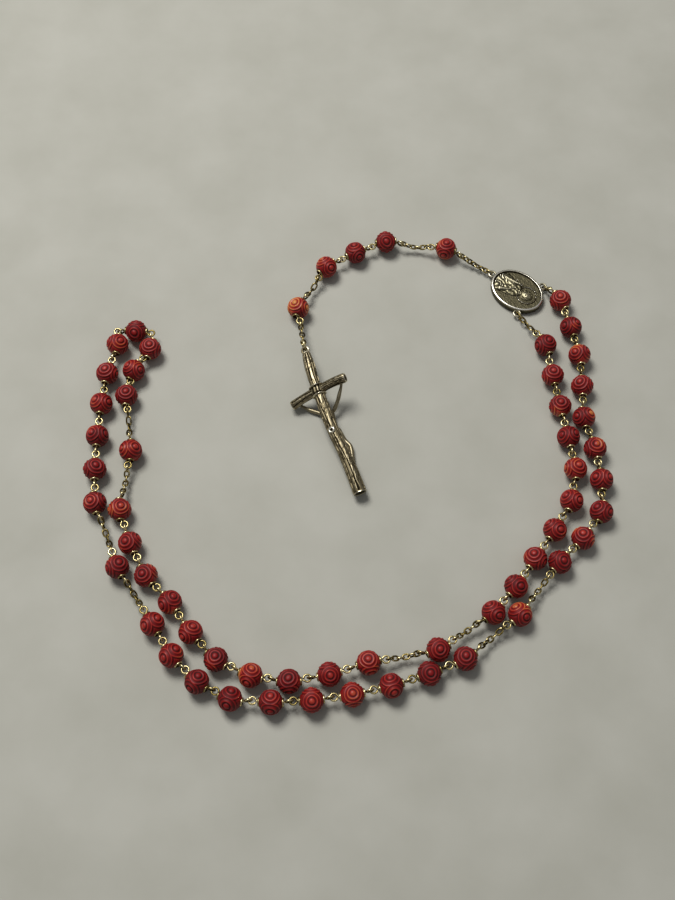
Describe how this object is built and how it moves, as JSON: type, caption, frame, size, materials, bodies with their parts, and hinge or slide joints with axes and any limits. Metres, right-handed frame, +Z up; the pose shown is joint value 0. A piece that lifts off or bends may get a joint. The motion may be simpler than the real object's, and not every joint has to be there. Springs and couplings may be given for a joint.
{
  "type": "rosary",
  "caption": "Rosary of carved red wooden beads on brass chain with an oval medal and a log-textured metal crucifix, laid flat with its loop doubled.",
  "frame": {"origin": "middle of the medal's flat back face", "axes": "+Z up from the surface that the rosary lies on, out of the medal's front; X and Y in that surface, with the crucifix and the doubled loop towards -Y"},
  "size_m": [0.1596, 0.1618, 0.0123],
  "materials": {
    "bead_wood": "carved, stained red, semi-gloss",
    "chain_metal": "aged, dark in the recesses",
    "medal_metal": "antiqued silver plate, rubbed bright on the rim and relief",
    "crucifix_metal": "cast log texture, antiqued silver plate"
  },
  "bodies": {
    "crucifix_lift": {"crucifix_corpus": "crucifix_metal", "crucifix_cross": "crucifix_metal"},
    "crucifix_swing": {"crucifix_jump_ring": "chain_metal"},
    "fold_01": {"decade1_beads_3_4": "bead_wood", "decade5_beads_8_9": "bead_wood"},
    "fold_02": {"decade1_beads_5_6": "bead_wood", "decade5_bead_7": "bead_wood"},
    "fold_03": {"decade1_beads_7_8": "bead_wood", "decade5_beads_5_6": "bead_wood"},
    "fold_04": {"decade1_beads_9_10": "bead_wood", "decade5_beads_3_4": "bead_wood"},
    "fold_05": {"chain_after_bead_10": "chain_metal", "decade5_beads_1_2": "bead_wood", "our_father_bead_1": "bead_wood"},
    "fold_06": {"chain_after_bead_11": "chain_metal", "chain_after_bead_44": "chain_metal", "decade2_beads_1_2": "bead_wood", "our_father_bead_4": "bead_wood"},
    "fold_07": {"chain_after_bead_43": "chain_metal", "decade2_beads_3_4": "bead_wood", "decade4_bead_10": "bead_wood"},
    "fold_08": {"decade2_beads_5_6": "bead_wood", "decade4_beads_8_9": "bead_wood"},
    "fold_09": {"decade2_beads_7_8": "bead_wood", "decade4_beads_6_7": "bead_wood"},
    "fold_10": {"decade2_beads_9_10": "bead_wood", "decade4_beads_4_5": "bead_wood"},
    "fold_11": {"chain_after_bead_21": "chain_metal", "chain_after_bead_22": "chain_metal", "chain_after_bead_33": "chain_metal", "decade3_beads_1_2": "bead_wood", "decade4_bead_1": "bead_wood", "decade4_beads_2_3": "bead_wood", "our_father_bead_2": "bead_wood", "our_father_bead_3": "bead_wood"},
    "fold_12": {"chain_after_bead_32": "chain_metal", "decade3_bead_10": "bead_wood", "decade3_beads_3_4": "bead_wood"},
    "fold_13": {"decade3_bead_7": "bead_wood", "decade3_beads_5_6": "bead_wood", "decade3_beads_8_9": "bead_wood"},
    "pendant_chain_1": {"pendant_chain_1": "chain_metal"},
    "pendant_chain_2": {"pendant_chain_2": "chain_metal"},
    "pendant_chain_3": {"pendant_chain_3": "chain_metal"},
    "pendant_chain_4": {"pendant_chain_4": "chain_metal"},
    "pendant_pin_1": {"pendant_pin_1": "chain_metal"},
    "pendant_pin_2": {"pendant_pin_2": "chain_metal"},
    "pendant_pin_3": {"pendant_pin_3": "chain_metal"},
    "pendant_pin_4": {"pendant_pin_4": "chain_metal"},
    "pendant_pin_5": {"pendant_pin_5": "chain_metal"},
    "root": {"chain_decade5_medal": "chain_metal", "chain_medal_decade1": "chain_metal", "decade1_beads_1_2": "bead_wood", "decade5_bead_10": "bead_wood", "medal_centrepiece": "medal_metal"},
    "pendant_bead_1": {"pendant_bead_1": "bead_wood"},
    "pendant_bead_2": {"pendant_bead_2": "bead_wood"},
    "pendant_bead_3": {"pendant_bead_3": "bead_wood"},
    "pendant_bead_4": {"pendant_bead_4": "bead_wood"},
    "pendant_bead_5": {"pendant_bead_5": "bead_wood"}
  },
  "joints": [
    {"name": "fold_01_hinge", "type": "hinge", "parent": "root", "child": "fold_01", "pos_m": [0.01266, -0.02392, 0.0035], "axis": [-0.8279, -0.5608, 0], "range_deg": [-50, 50]},
    {"name": "fold_02_hinge", "type": "hinge", "parent": "fold_01", "child": "fold_02", "pos_m": [0.01447, -0.04587, 0.0035], "axis": [0.7369, 0.676, 0], "range_deg": [-50, 50]},
    {"name": "fold_03_hinge", "type": "hinge", "parent": "fold_02", "child": "fold_03", "pos_m": [0.01667, -0.06194, 0.0035], "axis": [-0.8537, 0.5207, 0], "range_deg": [-50, 50]},
    {"name": "fold_04_hinge", "type": "hinge", "parent": "fold_03", "child": "fold_04", "pos_m": [0.01277, -0.08222, 0.0035], "axis": [0.8901, -0.4558, 0], "range_deg": [-50, 50]},
    {"name": "fold_05_hinge", "type": "hinge", "parent": "fold_04", "child": "fold_05", "pos_m": [-0.00024, -0.09931, 0.0035], "axis": [-0.9505, 0.3108, 0], "range_deg": [-50, 50]},
    {"name": "fold_06_hinge", "type": "hinge", "parent": "fold_05", "child": "fold_06", "pos_m": [-0.01416, -0.11458, 0.0035], "axis": [0.9767, -0.2146, 0], "range_deg": [-50, 50]},
    {"name": "fold_07_hinge", "type": "hinge", "parent": "fold_06", "child": "fold_07", "pos_m": [-0.03618, -0.1269, 0.0035], "axis": [0.4191, 0.9079, 0], "range_deg": [-50, 50]},
    {"name": "fold_08_hinge", "type": "hinge", "parent": "fold_07", "child": "fold_08", "pos_m": [-0.05676, -0.1317, 0.0035], "axis": [-0.5623, -0.8269, 0], "range_deg": [-50, 50]},
    {"name": "fold_09_hinge", "type": "hinge", "parent": "fold_08", "child": "fold_09", "pos_m": [-0.07887, -0.13383, 0.0035], "axis": [0.7117, 0.7025, 0], "range_deg": [-50, 50]},
    {"name": "fold_10_hinge", "type": "hinge", "parent": "fold_09", "child": "fold_10", "pos_m": [-0.09774, -0.1249, 0.0035], "axis": [-0.7027, -0.7115, 0], "range_deg": [-50, 50]},
    {"name": "fold_11_hinge", "type": "hinge", "parent": "fold_10", "child": "fold_11", "pos_m": [-0.11114, -0.10793, 0.0035], "axis": [0.667, 0.745, 0], "range_deg": [-50, 50]},
    {"name": "fold_12_hinge", "type": "hinge", "parent": "fold_11", "child": "fold_12", "pos_m": [-0.1266, -0.05866, 0.0035], "axis": [-0.8819, -0.4715, 0], "range_deg": [-50, 50]},
    {"name": "fold_13_hinge", "type": "hinge", "parent": "fold_12", "child": "fold_13", "pos_m": [-0.12719, -0.03853, 0.0035], "axis": [0.9919, 0.1269, 0], "range_deg": [-50, 50]},
    {"name": "crucifix_swing", "type": "hinge", "parent": "pendant_chain_4", "child": "crucifix_swing", "pos_m": [-0.06944, -0.02376, 0.00638], "axis": [0, 0, 1], "range_deg": [-45, 45]},
    {"name": "pendant_chain_1_swing", "type": "hinge", "parent": "root", "child": "pendant_chain_1", "pos_m": [-0.00776, 0.00662, 0.00125], "axis": [0, 0, -1], "range_deg": [-30, 45]},
    {"name": "pendant_chain_2_swing", "type": "hinge", "parent": "pendant_pin_1", "child": "pendant_chain_2", "pos_m": [-0.02794, 0.01562, 0.0035], "axis": [0, 0, 1], "range_deg": [-45, 30]},
    {"name": "pendant_chain_3_swing", "type": "hinge", "parent": "pendant_pin_4", "child": "pendant_chain_3", "pos_m": [-0.06501, 0.00274, 0.0035], "axis": [0, 0, -1], "range_deg": [-45, 45]},
    {"name": "pendant_chain_4_swing", "type": "hinge", "parent": "pendant_pin_5", "child": "pendant_chain_4", "pos_m": [-0.07081, -0.01393, 0.0035], "axis": [0, 0, 1], "range_deg": [-45, 45]},
    {"name": "pendant_pin_1_swing", "type": "hinge", "parent": "pendant_chain_1", "child": "pendant_pin_1", "pos_m": [-0.01768, 0.01208, 0.00339], "axis": [0, 0, -1], "range_deg": [-30, 45]},
    {"name": "pendant_pin_2_swing", "type": "hinge", "parent": "pendant_chain_2", "child": "pendant_pin_2", "pos_m": [-0.03697, 0.01675, 0.0035], "axis": [0, 0, 1], "range_deg": [-45, 30]},
    {"name": "pendant_pin_3_swing", "type": "hinge", "parent": "pendant_pin_2", "child": "pendant_pin_3", "pos_m": [-0.04755, 0.01547, 0.0035], "axis": [0, 0, -1], "range_deg": [-30, 45]},
    {"name": "pendant_pin_4_swing", "type": "hinge", "parent": "pendant_pin_3", "child": "pendant_pin_4", "pos_m": [-0.05738, 0.01034, 0.0035], "axis": [0, 0, 1], "range_deg": [-45, 45]},
    {"name": "pendant_pin_5_swing", "type": "hinge", "parent": "pendant_chain_3", "child": "pendant_pin_5", "pos_m": [-0.06856, -0.00368, 0.0035], "axis": [0, 0, -1], "range_deg": [-45, 45]},
    {"name": "crucifix_lift_hinge", "type": "hinge", "parent": "crucifix_swing", "child": "crucifix_lift", "pos_m": [-0.06921, -0.02537, 0.00688], "axis": [-0.9272, -0.3746, 0], "range_deg": [0, 100]},
    {"name": "pendant_bead_1_spin", "type": "hinge", "parent": "pendant_pin_1", "child": "pendant_bead_1", "pos_m": [-0.023, 0.015, 0.0035], "axis": [-0.9514, 0.3081, 0], "continuous": true},
    {"name": "pendant_bead_2_spin", "type": "hinge", "parent": "pendant_pin_2", "child": "pendant_bead_2", "pos_m": [-0.043, 0.0175, 0.0035], "axis": [-0.9892, -0.1468, 0], "continuous": true},
    {"name": "pendant_bead_3_spin", "type": "hinge", "parent": "pendant_pin_3", "child": "pendant_bead_3", "pos_m": [-0.0531, 0.013, 0.0035], "axis": [-0.8833, -0.4688, 0], "continuous": true},
    {"name": "pendant_bead_4_spin", "type": "hinge", "parent": "pendant_pin_4", "child": "pendant_bead_4", "pos_m": [-0.0626, 0.0071, 0.0035], "axis": [-0.6901, -0.7237, 0], "continuous": true},
    {"name": "pendant_bead_5_spin", "type": "hinge", "parent": "pendant_pin_5", "child": "pendant_bead_5", "pos_m": [-0.0715, -0.009, 0.0035], "axis": [-0.182, -0.9833, 0], "continuous": true}
  ]
}
